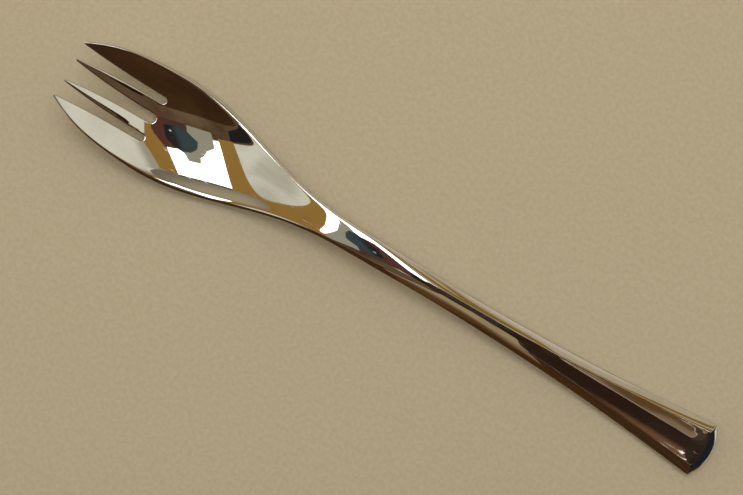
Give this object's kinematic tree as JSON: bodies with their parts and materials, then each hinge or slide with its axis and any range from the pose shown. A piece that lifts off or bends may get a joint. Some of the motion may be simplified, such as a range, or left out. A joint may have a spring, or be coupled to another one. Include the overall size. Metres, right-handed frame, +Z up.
{
  "type": "dinner fork",
  "caption": "One-piece polished steel table fork with pointed tines, a dished bowl, an arched neck and a flaring handle with a shallow hollow panel and a bevelled end.",
  "frame": {"origin": "on the table, at the middle of the fork's bounding box", "axes": "+X from the handle end to the tine tips, +Z up, the bowl's hollow facing up"},
  "size_m": [0.196, 0.0286, 0.0148],
  "materials": {
    "steel": "polished"
  },
  "bodies": {
    "root": {"fork": "steel"}
  },
  "joints": []
}
